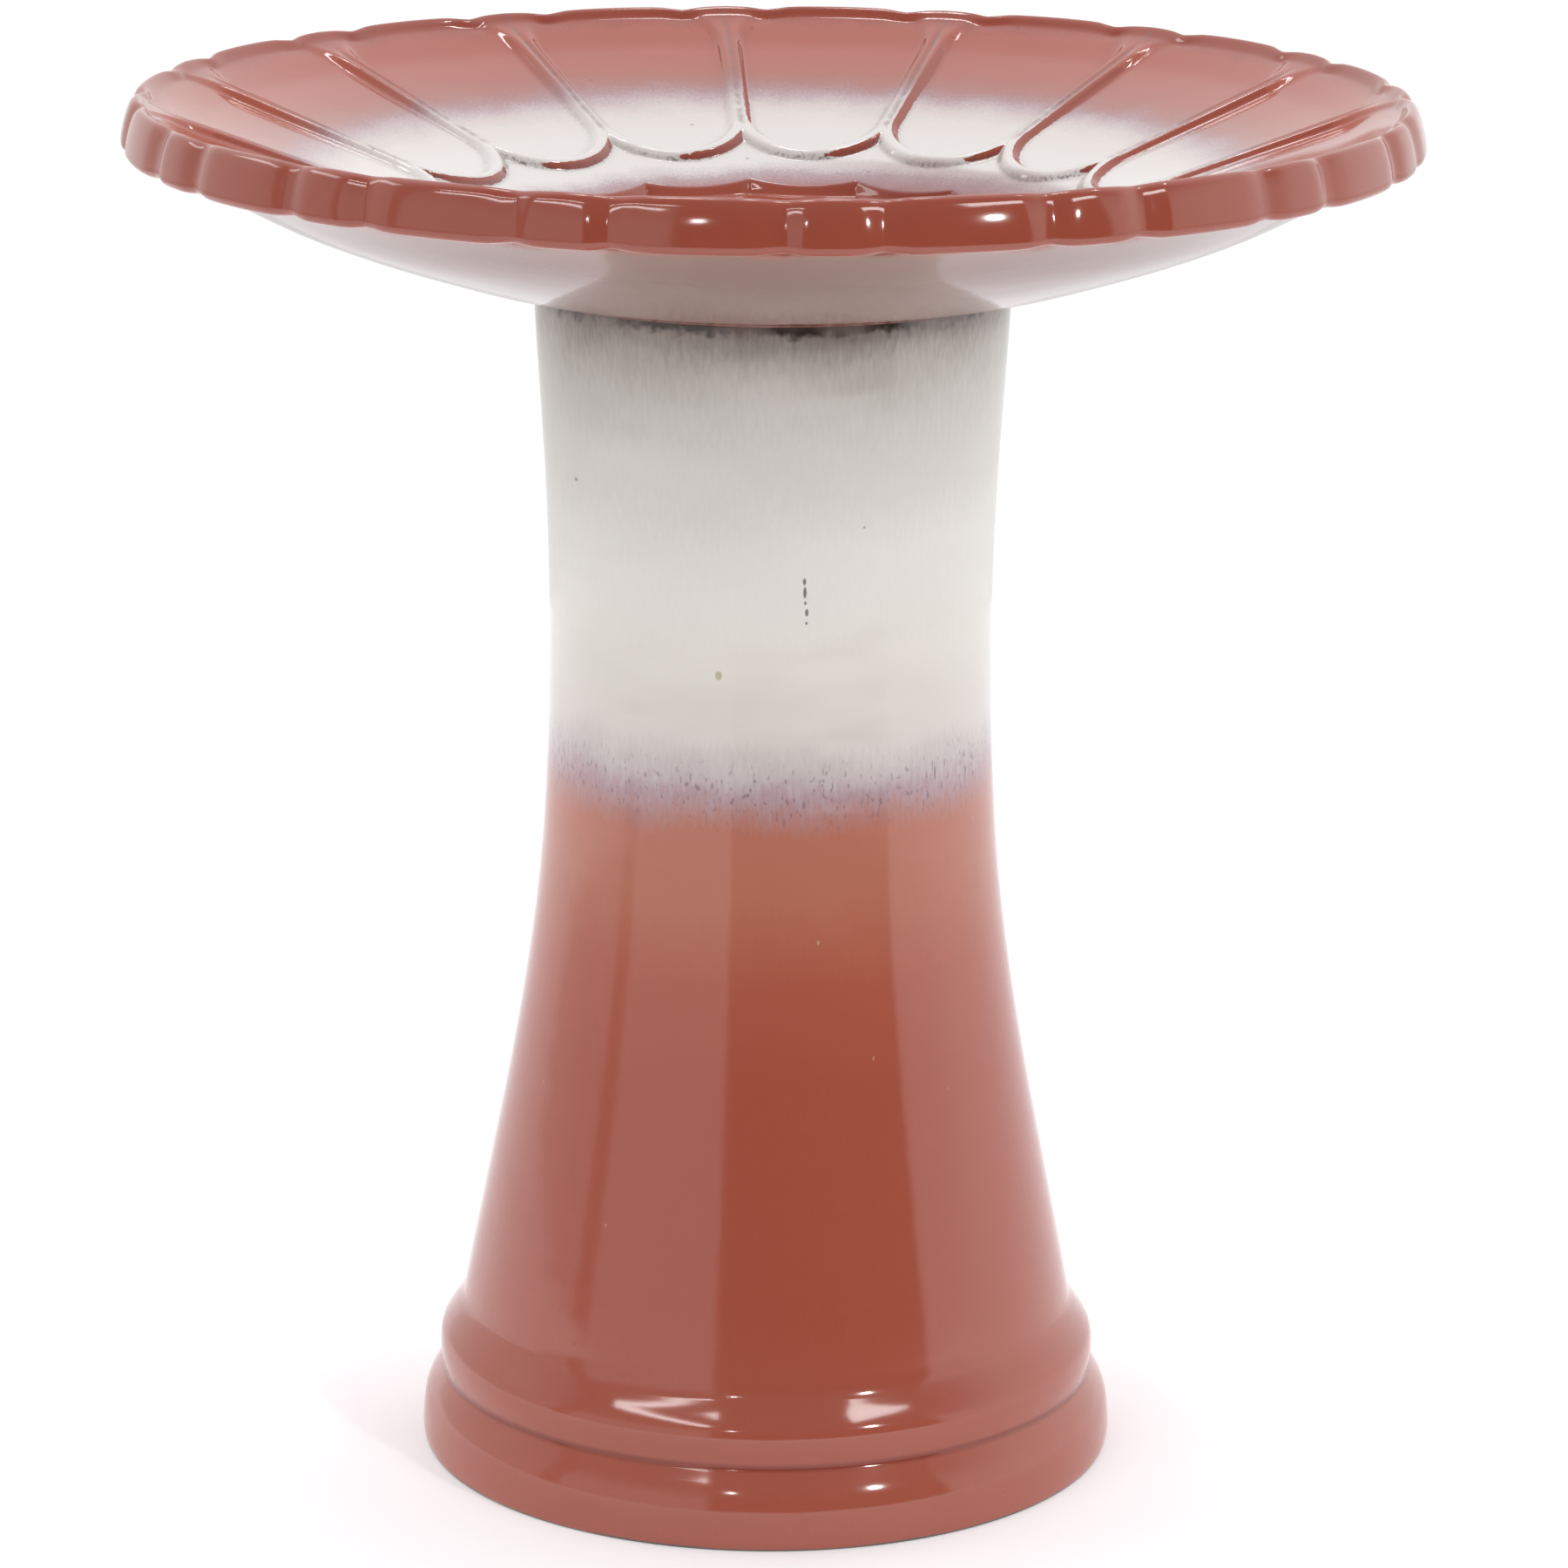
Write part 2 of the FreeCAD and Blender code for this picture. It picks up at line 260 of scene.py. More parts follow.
class Coat:
    """One material on its way: its nodes, its coordinates and the patterns it can carry."""

    def __init__(self, name: str) -> None:
        """Open an empty material.

        Args:
            name: Name of the material.
        """
        self.material = bpy.data.materials.new(name)
        self.material.use_nodes = True
        self.material.node_tree.nodes.clear()
        self.node = partial(add_node, self.material.node_tree)
        self.spot = self.node("TexCoord").outputs["Object"]

    def grain(self, size: float, detail: float = 2.0,
              stretch: tuple[float, float, float] = (1.0, 1.0, 1.0)) -> bpy.types.Node:
        """Draw a cloudy pattern.

        Args:
            size: Width of one cloud in millimetres.
            detail: Number of finer layers.
            stretch: How many times longer than size the clouds are along each axis.

        Returns:
            A node that gives a value around 0.5.
        """
        scale = tuple(1.0 / (size * MM * times) for times in stretch)
        place = self.node("Mapping", feeds={"Vector": self.spot, "Scale": scale})
        return self.node("TexNoise", feeds={"Vector": place, "Scale": 1.0, "Detail": detail})

    def dots(self, spacing: float, radius: float,
             stretch: tuple[float, float, float] = (1.0, 1.0, 1.0)) -> bpy.types.Node:
        """Draw small round spots scattered over the surface.

        Args:
            spacing: Usual gap between spots in millimetres.
            radius: Radius of a spot in millimetres.
            stretch: How many times longer the spots are along each axis.

        Returns:
            A node that gives 1 inside a spot and 0 outside.
        """
        scale = tuple(1.0 / (spacing * MM * times) for times in stretch)
        place = self.node("Mapping", feeds={"Vector": self.spot, "Scale": scale})
        cells = self.node("TexVoronoi", feeds={"Vector": place, "Scale": 1.0})
        share = radius / spacing
        return self.node("MapRange", cells.outputs["Distance"], 0.6 * share, 1.3 * share, 1.0,
                         0.0, **SMOOTH)

    def blot(self, mark: Mark) -> bpy.types.Node:
        """Draw one soft-edged mark at its fixed place.

        Args:
            mark: The mark.

        Returns:
            A node that gives 1 in the middle, falling to 0 at the mark's edge.
        """
        scale = tuple(1.0 / (half * MM) for half in mark.reach)
        shift = tuple(-middle / half for middle, half in zip(mark.centre, mark.reach))
        place = self.node("Mapping", feeds={"Vector": self.spot, "Location": shift,
                                            "Scale": scale})
        far = self.node("VectorMath", place, operation="LENGTH")
        return self.node("MapRange", far, 0.6, 1.0, 1.0, 0.0, **SMOOTH)


@dataclass(frozen=True)
class Glaze:
    """Glossy lead-free earthenware glaze over red clay, sprayed in two colours.

    The fired glass is smooth, so it mirrors the studio sharply, with a faint orange-peel
    ripple. Where it is thin, on arrises, the red body shows through.
    """

    terracotta: str = "#ad5b48"
    deep: str = "#a75441"
    cream: str = "#e2dfd8"
    speck: str = "#4b403f"
    roughness: float = 0.09
    ior: float = 1.6
    peel: float = 7.0            # width and height of the orange-peel dimples, mm
    peel_height: float = 0.012
    brush: float = 38.0          # width and height of the slow waves left by the throwing, mm
    brush_height: float = 0.16

    def close(self, coat: Coat, colour: bpy.types.Node, rough: Any) -> bpy.types.Material:
        """Finish a material with its gloss and its ripple.

        Args:
            coat: The material on its way.
            colour: Node that gives its colour.
            rough: Its roughness, as a number or a node.

        Returns:
            The finished material.
        """
        node = coat.node
        height = node("Math", coat.grain(self.peel, 1.0), self.peel_height, operation="MULTIPLY")
        wave = coat.grain(self.brush, 1.0, (1.0, 1.0, 0.45))
        height = node("Math", wave, self.brush_height, height, operation="MULTIPLY_ADD")
        ripple = node("Bump", feeds={"Height": height, "Distance": MM, "Strength": 1.0})
        glass = node("BsdfPrincipled", feeds={"Base Color": colour, "Roughness": rough,
                                              "IOR": self.ior, "Normal": ripple})
        node("OutputMaterial", feeds={"Surface": glass.outputs["BSDF"]})
        return coat.material


@dataclass(frozen=True)
class PedestalGlaze(Glaze):
    """The pedestal's coat: cream above, terracotta below, sprayed into each other, with painted shade
    where it greys under the basin.
    """

    lavender: str = "#b3989d"
    bare_clay: str = "#6d625d"
    # dark band at the mouth: partly soiling, partly painted shade under the basin
    grime_and_shade: str = "#39302c"
    height: float = 480.0
    meeting: float = 287.0       # height at which the two colours meet, mm
    crease: float = 32.0         # height of the crease between bead and plinth, mm
    streak: float = 1.6          # width of one run of sprayed glaze, mm
    streak_sway: float = 14.0    # how far the runs and the slow drift move a band's edge, mm
    drift_sway: float = 16.0
    marks: tuple[Mark, ...] = (
        Mark((5.2, -88.3, 377.5), (0.8, 6.0, 1.7), "#4d423e"),      # a broken hairline in front
        Mark((5.4, -88.3, 373.2), (0.8, 6.0, 2.8), "#443a37"),
        Mark((5.6, -88.3, 369.0), (0.6, 6.0, 0.9), "#5b504c"),
        Mark((6.2, -88.3, 365.2), (0.8, 6.0, 1.8), "#493f3b"),
        Mark((6.1, -88.3, 361.0), (0.6, 6.0, 0.8), "#6a605b"),
        Mark((-27.4, -84.0, 339.7), (1.6, 6.0, 2.2), "#b3aa86"),    # an ash spot
        Mark((-78.7, -40.3, 408.8), (2.0, 3.0, 1.8), "#5a504c"),
        Mark((-92.8, 8.1, 442.5), (5.0, 3.4, 3.6), "#3f3733"))      # a chip in the glaze

    def bands(self) -> dict[float, str]:
        """Give the colour at each height in millimetres."""
        meet = self.meeting
        return {
            0: self.terracotta, 90: self.deep, meet - 110: self.deep, meet - 70: self.terracotta,
            meet - 36: "#b6705a", meet - 12: "#b8725e", meet - 3: "#b3827c",
            meet + 4: self.lavender, meet + 13: "#c6bab9", meet + 26: "#d9d2cb",
            # from 410 mm up to the mouth the cream greys: painted shade under the basin
            meet + 60: "#e2ded5", meet + 90: self.cream, 391: self.cream, 410: "#dbd8d1",
            428: "#dad7d0", 447: "#cfccc5", 460: "#bdb9b1", 472: "#9c938b",
            self.height: "#857b72"}

    def material(self) -> bpy.types.Material:
        """Build the material."""
        coat = Coat("cream over terracotta glaze")
        node = coat.node
        z = node("SeparateXYZ", coat.spot).outputs["Z"]
        runs = coat.grain(self.streak, 3.0, (1.0, 1.0, 4.0))
        drift = coat.grain(34.0)

        level = node("Math", runs, self.streak_sway * MM, z, operation="MULTIPLY_ADD")
        level = node("Math", drift, self.drift_sway * MM, level, operation="MULTIPLY_ADD")
        level = node("Math", level, (self.streak_sway + self.drift_sway) * MM / 2,
                     operation="SUBTRACT")
        share = node("Math", level, 1.0 / (self.height * MM), operation="MULTIPLY")
        colour = set_stops(node("ValToRGB", share), {
            place / self.height: linear(code) for place, code in self.bands().items()})

        # dark specks where the two glazes run into each other
        low, high = (self.meeting - 14) * MM, (self.meeting + 2) * MM
        specks = node("MapRange", coat.grain(1.5, 1.0, (1.0, 1.0, 2.2)), 0.60, 0.72, 0.0, 0.55,
                      **SMOOTH)
        specks = node("Math", specks, node("MapRange", z, low, high, **SMOOTH),
                      operation="MULTIPLY")
        low, high = (self.meeting + 8) * MM, (self.meeting + 24) * MM
        specks = node("Math", specks, node("MapRange", z, low, high, 1.0, 0.0, **SMOOTH),
                      operation="MULTIPLY")
        colour = node("Mix", specks, colour, linear("#6b5a68"), **RGBA)

        # upright strokes of thinner glaze, and pale scuffs
        strokes = node("MapRange", runs, 0.25, 0.75, 0.0, 0.035, **SMOOTH)
        colour = node("Mix", strokes, colour, linear("#b9b3a8"), **TINT)
        scuffs = node("Math", coat.dots(19.0, 0.55, (1.0, 1.0, 1.8)),
                      node("MapRange", drift, 0.5, 0.6, 0.0, 0.7, **SMOOTH),
                      operation="MULTIPLY")
        colour = node("Mix", scuffs, colour, linear("#c9a797"), **RGBA)

        # a dark ragged band under the basin: soiling, and painted shade where the basin sits on the
        # pedestal
        ragged_height = node("Math", coat.grain(6.0, 4.0), 0.012, -0.006, operation="MULTIPLY_ADD")
        ragged_height = node("Math", z, ragged_height, operation="ADD")
        dirt_and_shade = node("Math", node("MapRange", ragged_height, 0.4725, 0.4765, **SMOOTH),
                    node("MapRange", coat.grain(30.0), 0.36, 0.60, 0.3, 0.95, **SMOOTH),
                    operation="MULTIPLY")
        colour = node("Mix", dirt_and_shade, colour, linear(self.grime_and_shade), **RGBA)

        # pinholes, painted shade along the crease, and the marks
        pits = node("Math", coat.dots(25.0, 0.55), 0.5, operation="MULTIPLY")
        colour = node("Mix", pits, colour, linear(self.speck), **RGBA)
        off_crease = node("Math", z, self.crease * MM, operation="SUBTRACT")
        off_crease = node("Math", off_crease, operation="ABSOLUTE")
        crease_shade = node("MapRange", off_crease, 0.0, 0.0022, 0.6, 0.0, **SMOOTH)
        colour = node("Mix", crease_shade, colour, linear("#a9604f"), **TINT)
        for mark in self.marks:
            share = node("Math", coat.blot(mark), 0.85, operation="MULTIPLY")
            colour = node("Mix", share, colour, linear(mark.code), **RGBA)

        # the bare, rough foot
        foot = node("Math", drift, 0.002, z, operation="MULTIPLY_ADD")
        foot = node("MapRange", foot, 0.0015, 0.0026, 1.0, 0.0, **SMOOTH)
        colour = node("Mix", foot, colour, linear(self.bare_clay), **RGBA)
        rough = node("Math", foot, 0.7, self.roughness, operation="MULTIPLY_ADD")
        return self.close(coat, colour, rough)


@dataclass(frozen=True)
class BasinGlaze(Glaze):
    """The basin's coat: terracotta rim and floor with a cream belt between them.

    The spray came from one side, so walls that face the other way stayed red.
    """

    shade: str = "#8f8a86"
    reach: float = 260.0         # radius at which both runs of bands end, mm
    fine_sway: float = 10.0      # how far fine spray and slow drift move a band's edge, mm
    drift_sway: float = 12.0

    def bands(self) -> tuple[dict[float, str], dict[float, str]]:
        """Give the colour at each radius in millimetres, for the inside and the outside."""
        inside = {
            0: self.terracotta, 104: "#9d5a50", 109: "#a26c67", 114: "#a98384", 119: "#b39d9e",
            124: "#cfc5c2", 131: "#e0dbd6", 150: "#dfdad4", 165: "#dad2cb", 174: "#cfc1bc",
            181: "#b9a2a4", 187: "#a87f7f", 193: "#a86b60", 202: "#aa5f4e",
            215: self.terracotta, 236: self.terracotta, 243: "#a04f3d", 260: "#9c4b39"}
        below = {
            0: self.terracotta, 106: "#a05341", 116: "#985341", 135: "#825040", 175: "#7b5143",
            215: "#7c5548", 232: "#835649", 238: "#9b5140", 243: "#a04f3d", 260: "#9c4b39"}
        return inside, below

    def material(self) -> bpy.types.Material:
        """Build the material."""
        coat = Coat("terracotta and cream glaze")
        node = coat.node
        flat = node("Mapping", feeds={"Vector": coat.spot, "Scale": (1.0, 1.0, 0.0)})
        reach = node("VectorMath", flat, operation="LENGTH")
        drift = coat.grain(22.0)
        side, hollow, unsprayed, fold, crest = (
            node("Attribute", attribute_name=name).outputs["Fac"]
            for name in ("outside", "hollow", "unsprayed", "fold", "crest"))

        # the terrace inside the petals leans to one side
        lean = node("VectorMath", coat.spot, (-0.050, 0.030, 0.0), operation="DOT_PRODUCT")
        inward = node("MapRange", reach, 0.132, 0.150, 1.0, 0.0, **SMOOTH)
        spread = node("Math", lean, inward, reach, operation="MULTIPLY_ADD")
        spread = node("Math", coat.grain(1.3), self.fine_sway * MM, spread,
                      operation="MULTIPLY_ADD")
        spread = node("Math", drift, self.drift_sway * MM, spread, operation="MULTIPLY_ADD")
        spread = node("Math", spread, (self.fine_sway + self.drift_sway) * MM / 2,
                      operation="SUBTRACT")
        share = node("Math", spread, 1.0 / (self.reach * MM), operation="MULTIPLY")
        inside, below = (set_stops(node("ValToRGB", share), {
            place / self.reach: linear(code) for place, code in run.items()})
            for run in self.bands())
        colour = node("Mix", side, inside, below, **RGBA)
        colour = node("Mix", hollow, colour, linear("#a55340"), **RGBA)

        # red clay on the walls that the spray missed
        ragged = node("Math", coat.grain(3.2, 3.0), 0.9, unsprayed, operation="MULTIPLY_ADD")
        missing = node("MapRange", ragged, 0.79, 0.91, **SMOOTH)
        colour = node("Mix", missing, colour, linear("#9f4e3c"), **RGBA)

        # painted grey shade along the folds, with dark specks of glaze there
        grey = node("Math", fold, 0.35, operation="MULTIPLY")
        colour = node("Mix", grey, colour, linear(self.shade), **TINT)
        patchy = node("MapRange", drift, 0.38, 0.60, 0.15, 0.75, **SMOOTH)
        patchy = node("Math", fold, patchy, operation="MULTIPLY")
        specks = node("MapRange", coat.grain(1.6), 0.46, 0.66, **SMOOTH)
        specks = node("Math", specks, patchy, operation="MULTIPLY")
        colour = node("Mix", specks, colour, linear(self.speck), **RGBA)

        # a pink flush over one side of the terrace
        across = node("SeparateXYZ", coat.spot).outputs["X"]
        flush = node("Math", node("MapRange", across, 0.0, 0.09, 0.0, 0.8, **SMOOTH),
                     node("MapRange", reach, 0.127, 0.133, 1.0, 0.0, **SMOOTH),
                     operation="MULTIPLY")
        colour = node("Mix", flush, colour, linear("#d3bcbc"), **TINT)

        # worn rib tops and pinholes
        worn = node("MapRange", coat.grain(5.0), 0.35, 0.6, 0.0, 0.55, **SMOOTH)
        worn = node("Math", crest, worn, operation="MULTIPLY")
        colour = node("Mix", worn, colour, linear("#7f6258"), **RGBA)
        pits = node("Math", coat.dots(21.0, 0.8), 0.45, operation="MULTIPLY")
        colour = node("Mix", pits, colour, linear(self.speck), **RGBA)
        return self.close(coat, colour, self.roughness)


# ---------------------------------------------------------------- the pieces


@dataclass
class Basin:
    """The shallow bowl: sixteen sunk petal panels between raised ribs, and a scalloped rim.

    Radii are millimetres from the axis and heights are millimetres above the flat foot.
    """

    low: Vector
    glaze: BasinGlaze = field(default_factory=BasinGlaze)
    petals: int = 16
    half_spokes: int = 20        # spokes from a rib's middle to its petal's middle
    rib_steps: tuple[float, ...] = (   # millimetres from a rib's middle to its own spokes
        0.0, 0.9, 1.8, 2.7, 3.6, 4.5, 5.5, 6.6, 8.0)
    notch_spoke: int = 13        # spoke that ends in a notch, and its place on the way from
    notch_share: float = 0.2606  # the last of the rib's own spokes to the petal's middle
    plain_floor: float = 60.0    # inside this radius rings are round and spokes are even
    crest_height: float = 30.7   # height of the rib tops at crest_radius
    crest_radius: float = 135.0
    crest_slope: float = 0.3524
    wall_foot: float = 127.0     # petal end: foot and top of its little wall
    wall_top: float = 131.0
    petal_centre: float = 165.0
    terrace_drop: float = 2.8
    floor_top: float = 108.0     # second scalloped edge: top and foot
    floor_foot: float = 104.5
    floor_centre: float = 182.0
    floor_height: float = 14.2
    floor_dish: float = 1.0
    panel_centre: float = 163.0  # sunk panel: round inner end and straight sides
    panel_end: float = 27.5
    panel_start: float = 26.7
    panel_spread: float = 0.1803
    panel_edge: float = 254.0
    corner: float = 31.5
    panel_side: tuple[float, float] = (-1.2, 2.9)      # where its side starts and ends, from
    panel_depth: float = 2.6     # its outline; millimetres below the rib tops, then how much
    panel_deepening: float = 0.8   # more farther out and the radii between, and the lip's depth
    panel_deepens: tuple[float, float] = (150.0, 215.0)
    lip_depth: float = 0.8
    groove_depth: float = 0.8    # groove along the middle of each rib, and the radii over
    groove_width: float = 1.2    # which it starts and ends
    groove_start: tuple[float, float] = (149.0, 156.0)
    groove_end: tuple[float, float] = (226.0, 240.0)
    lip: float = 243.0
    crown: float = 247.5
    lip_rise: float = 1.85
    notch: float = 4.3           # degrees from a rib to the rim notch beside it
    notch_width: float = 1.4     # degrees
    notch_depth: float = 1.7     # millimetres that the notch cuts in, and that it dips
    notch_dip: float = 0.9
    swell: float = 0.5           # millimetres that the rim rises over petals and over ribs
    bead: float = 0.4
    lobe_round: float = 0.7      # millimetres that a lobe draws in from its middle to its ends
    ring_depth: float = 10.0
    spray: tuple[float, float] = (0.74, -0.67)   # way that the unsprayed walls face, and how
    missed: tuple[float, float] = (0.24, 0.50)   # far a wall leans that way to be missed

    @property
    def seat(self) -> float:
        """Height of the flat foot, in metres."""
        return self.low.z + self.ring_depth * MM

    @property
    def half_angle(self) -> float:
        """Angle from a rib's middle to its petal's middle."""
        return math.pi / self.petals

    def crest(self, radius: float) -> float:
        """Height of the rib tops at a radius."""
        return self.crest_height + self.crest_slope * (radius - self.crest_radius)

    def from_rib(self, count: int, radius: float) -> float:
        """Place a spoke, crowding the spokes on and beside each rib.

        Args:
            count: Number of spokes from the nearest rib.
            radius: Where on the spoke.

        Returns:
            Angle from that rib.
        """
        last = len(self.rib_steps) - 1
        wide = max(radius, self.plain_floor)
        if count <= last:
            crowded = math.asin(self.rib_steps[count] / wide)
        else:
            if count <= self.notch_spoke:
                share = self.notch_share * (count - last) / (self.notch_spoke - last)
            else:
                rest = (count - self.notch_spoke) / (self.half_spokes - self.notch_spoke)
                share = lerp(self.notch_share, 1.0, rest)
            crowded = lerp(math.asin(self.rib_steps[-1] / wide), self.half_angle, share)
        even = self.half_angle * count / self.half_spokes
        return lerp(even, crowded, ease(self.plain_floor, self.floor_top, radius))

    def round_end(self, centre: float, radius: float, angle: float) -> float:
        """Say how far a petal's round end has drawn back at an angle from its middle.

        Args:
            centre: Radius at which the round end has its centre.
            radius: Radius of the round end itself.
            angle: Angle from the petal's middle.

        Returns:
            Extra radius, nothing on the petal's middle.
        """
        across = centre * math.sin(angle)
        return centre * math.cos(angle) - math.sqrt(radius ** 2 - across ** 2) - (centre - radius)

    def drawn_back(self, ring: float, angle: float) -> float:
        """Say how far a ring of the inside draws back between two petals.

        Args:
            ring: Radius of the ring on a petal's middle.
            angle: Angle from the petal's middle.

        Returns:
            Extra radius in millimetres.
        """
        inner = self.round_end(self.floor_centre, self.floor_centre - self.floor_top, angle)
        foot = self.round_end(self.petal_centre, self.petal_centre - self.wall_foot, angle)
        top = self.round_end(self.petal_centre, self.petal_centre - self.wall_top, angle)
        if ring <= self.floor_top:
            return inner * max(ring - self.plain_floor, 0.0) / (self.floor_top - self.plain_floor)
        if ring <= self.wall_foot:
            return lerp(inner, foot, (ring - self.floor_top) / (self.wall_foot - self.floor_top))
        if ring <= self.wall_top:
            return lerp(foot, top, (ring - self.wall_foot) / (self.wall_top - self.wall_foot))
        return top * (1.0 - ease(self.wall_top, 196.0, ring))

    def off_panel(self, radius: float, angle: float) -> float:
        """Measure the distance from a sunk panel's outline.

        Args:
            radius: Distance from the axis.
            angle: Angle from the petal's middle.

        Returns:
            Millimetres outside the outline, negative on the panel.
        """
        along = radius * math.cos(angle)
        across = radius * math.sin(angle)
        tilt = math.atan(self.panel_spread)
        side = (across - self.panel_start - self.panel_spread * (along - 156.0)) * math.cos(tilt)
        edge = radius - self.panel_edge
        if along + across * self.panel_spread < self.panel_centre:
            return math.hypot(along - self.panel_centre, across) - self.panel_end
        if side > -self.corner and edge > -self.corner:
            return math.hypot(side + self.corner, edge + self.corner) - self.corner
        return max(side, edge)

    def pinch(self, angle: float) -> float:
        """Shape of the rim's notches: 1 in the middle of a notch and 0 on the lobes."""
        return bump(self.notch, self.notch_width, math.degrees(angle))

    def drawn_in(self, angle: float) -> float:
        """Millimetres that the rim's outline lies inside its full circle at an angle."""
        turn = math.degrees(angle)
        middle = math.degrees(self.half_angle)
        lobe = turn / self.notch if turn < self.notch else (middle - turn) / (middle - self.notch)
        return self.notch_depth * self.pinch(angle) + self.lobe_round * lobe * lobe

    def wave(self, angle: float) -> float:
        """Height of the rim's wave in millimetres at an angle from a rib."""
        petal = 0.5 - 0.5 * math.cos(math.pi * angle / self.half_angle)
        rib = bump(0.0, 1.9, math.degrees(angle))
        return self.swell * petal + self.bead * rib - self.notch_dip * self.pinch(angle)

    def inside_height(self, ring: float, radius: float, angle: float) -> float:
        """Height of the inner face.

        Args:
            ring: Radius of the ring on a petal's middle.
            radius: Distance from the axis.
            angle: Angle from the nearest rib.

        Returns:
            Millimetres above the foot.
        """
        crest = self.crest(radius)
        terrace = crest - self.terrace_drop
        dish = self.floor_height - self.floor_dish * (1.0 - min(radius / self.floor_foot, 1.0) ** 2)
        if ring <= self.floor_top:
            return lerp(dish, terrace, ease(self.floor_foot, self.floor_top, ring))
        if ring <= self.wall_top:
            return lerp(terrace, crest, ease(self.wall_foot, self.wall_top, ring))
        off = self.off_panel(radius, self.half_angle - angle)
        deep = self.panel_depth + self.panel_deepening * ease(*self.panel_deepens, radius)
        deep = lerp(deep, self.lip_depth, ease(222.0, self.lip, radius))
        deep *= 1.0 - ease(self.lip, 246.5, radius)
        height = crest - deep * (1.0 - ease(*self.panel_side, off))
        across = radius * math.sin(angle)
        groove = bump(0.0, self.groove_width, across) * ease(*self.groove_start, radius)
        height -= self.groove_depth * groove * (1.0 - ease(*self.groove_end, radius))
        height += self.lip_rise * ease(self.lip, self.crown, ring)
        return height + self.wave(angle) * ease(238.0, 247.0, ring)

    def inside(self) -> bmesh.types.BMesh:
        """Build the inner face from the middle of the floor up to the crown of the rim.

        Returns:
            An open shell whose vertices carry the glaze's marks.
        """
        rings = [0, 16, 34, 50, 64, 76, 86, 94, 99, 102, 103.6, 104.5, 105.1, 105.7, 106.3, 106.9,
                 107.5, 108, 108.8, 110, 112, 115, 118, 121, 123.5, 125.2, 126.4, 127, 127.6, 128.2,
                 128.8, 129.4, 130, 130.6, 131.2, 131.9, 132.7, 133.6, 134.6, 135.7, 137, 138.5,
                 140.5, 143, 146, 149.5, 153, 157, 162, 167, 173, 180, 187, 194, 200, 206, 211, 216,
                 220, 224, 227.5, 230.5, 233, 235.5, 238, 240, 241.6, 242.8, 243.8, 244.8, 245.8,
                 246.7, self.crown]
        shell = spun([(ring, 0.0) for ring in rings], 2 * self.half_spokes, self.petals)
        self.shape(shell, outside=False)
        return shell

    def inside_point(self, ring: float, count: int) -> tuple[float, float, float]:
        """Place one point of the inner face.

        Args:
            ring: Radius of its ring.
            count: Number of spokes from the nearest rib.

        Returns:
            Radius, angle from the nearest rib and height.
        """
        # the scallops and the crowding of the spokes lean on each other, so settle them in turns
        radius = ring
        for _ in range(3):
            angle = self.from_rib(count, radius)
            radius = ring + self.drawn_back(ring, self.half_angle - angle)
        angle = self.from_rib(count, radius)
        height = self.inside_height(ring, radius, angle)
        radius -= self.drawn_in(angle) * ease(240.0, self.crown, ring)
        return radius, angle, height

    def outside_point(self, ring: float, height: float, count: int) -> tuple[float, float, float]:
        """Place one point of the rim band, the underside or the foot.

        Args:
            ring: Radius on the section.
            height: Height on the section.
            count: Number of spokes from the nearest rib.

        Returns:
            Radius, angle from the nearest rib and height.
        """
        angle = self.from_rib(count, ring)
        held = ease(236.0, 244.0, ring)
        radius = ring - self.drawn_in(angle) * held
        share = held * ease(52.5, 71.0, height)
        low = held * (1.0 - ease(52.5, 60.0, height))
        return radius, angle, height + self.wave(angle) * share + 0.8 * self.pinch(angle) * low

    def outside(self) -> bmesh.types.BMesh:
        """Build the rim band, the underside, the foot and the ring that locates it."""
        top = self.crest(self.crown) + self.lip_rise
        band = smooth_run([(self.crown, top), (249.0, 71.7), (250.3, 70.3), (251.4, 67.9),
                           (252.5, 64.6), (253.4, 61.0), (254.0, 57.4), (253.9, 54.9),
                           (252.6, 53.0), (249.6, 52.1), (245.0, 51.8), (240.2, 52.0)], 3)
        under = smooth_run([(238.8, 51.2), (225.0, 44.1), (200.0, 30.9), (175.0, 20.45),
                            (150.0, 11.8), (130.0, 5.5), (116.0, 2.2), (110.0, 0.5)], 3)
        foot = [(108.4, 0.1), (107.6, 0.0), (104.0, 0.0), (82.0, 0.0), (81.2, -0.2), (81.0, -0.8),
                (81.0, -5.0), (81.0, -9.2), (80.8, -9.8), (80.0, -10.0), (75.5, -10.0),
                (71.0, -10.0), (70.2, -9.8), (70.0, -9.2), (70.0, -5.0), (70.0, -0.8),
                (69.8, -0.2), (69.0, 0.0), (35.0, 0.0), (0.0, 0.0)]
        shell = spun(band + under + foot, 2 * self.half_spokes, self.petals)
        self.shape(shell, outside=True)
        return shell

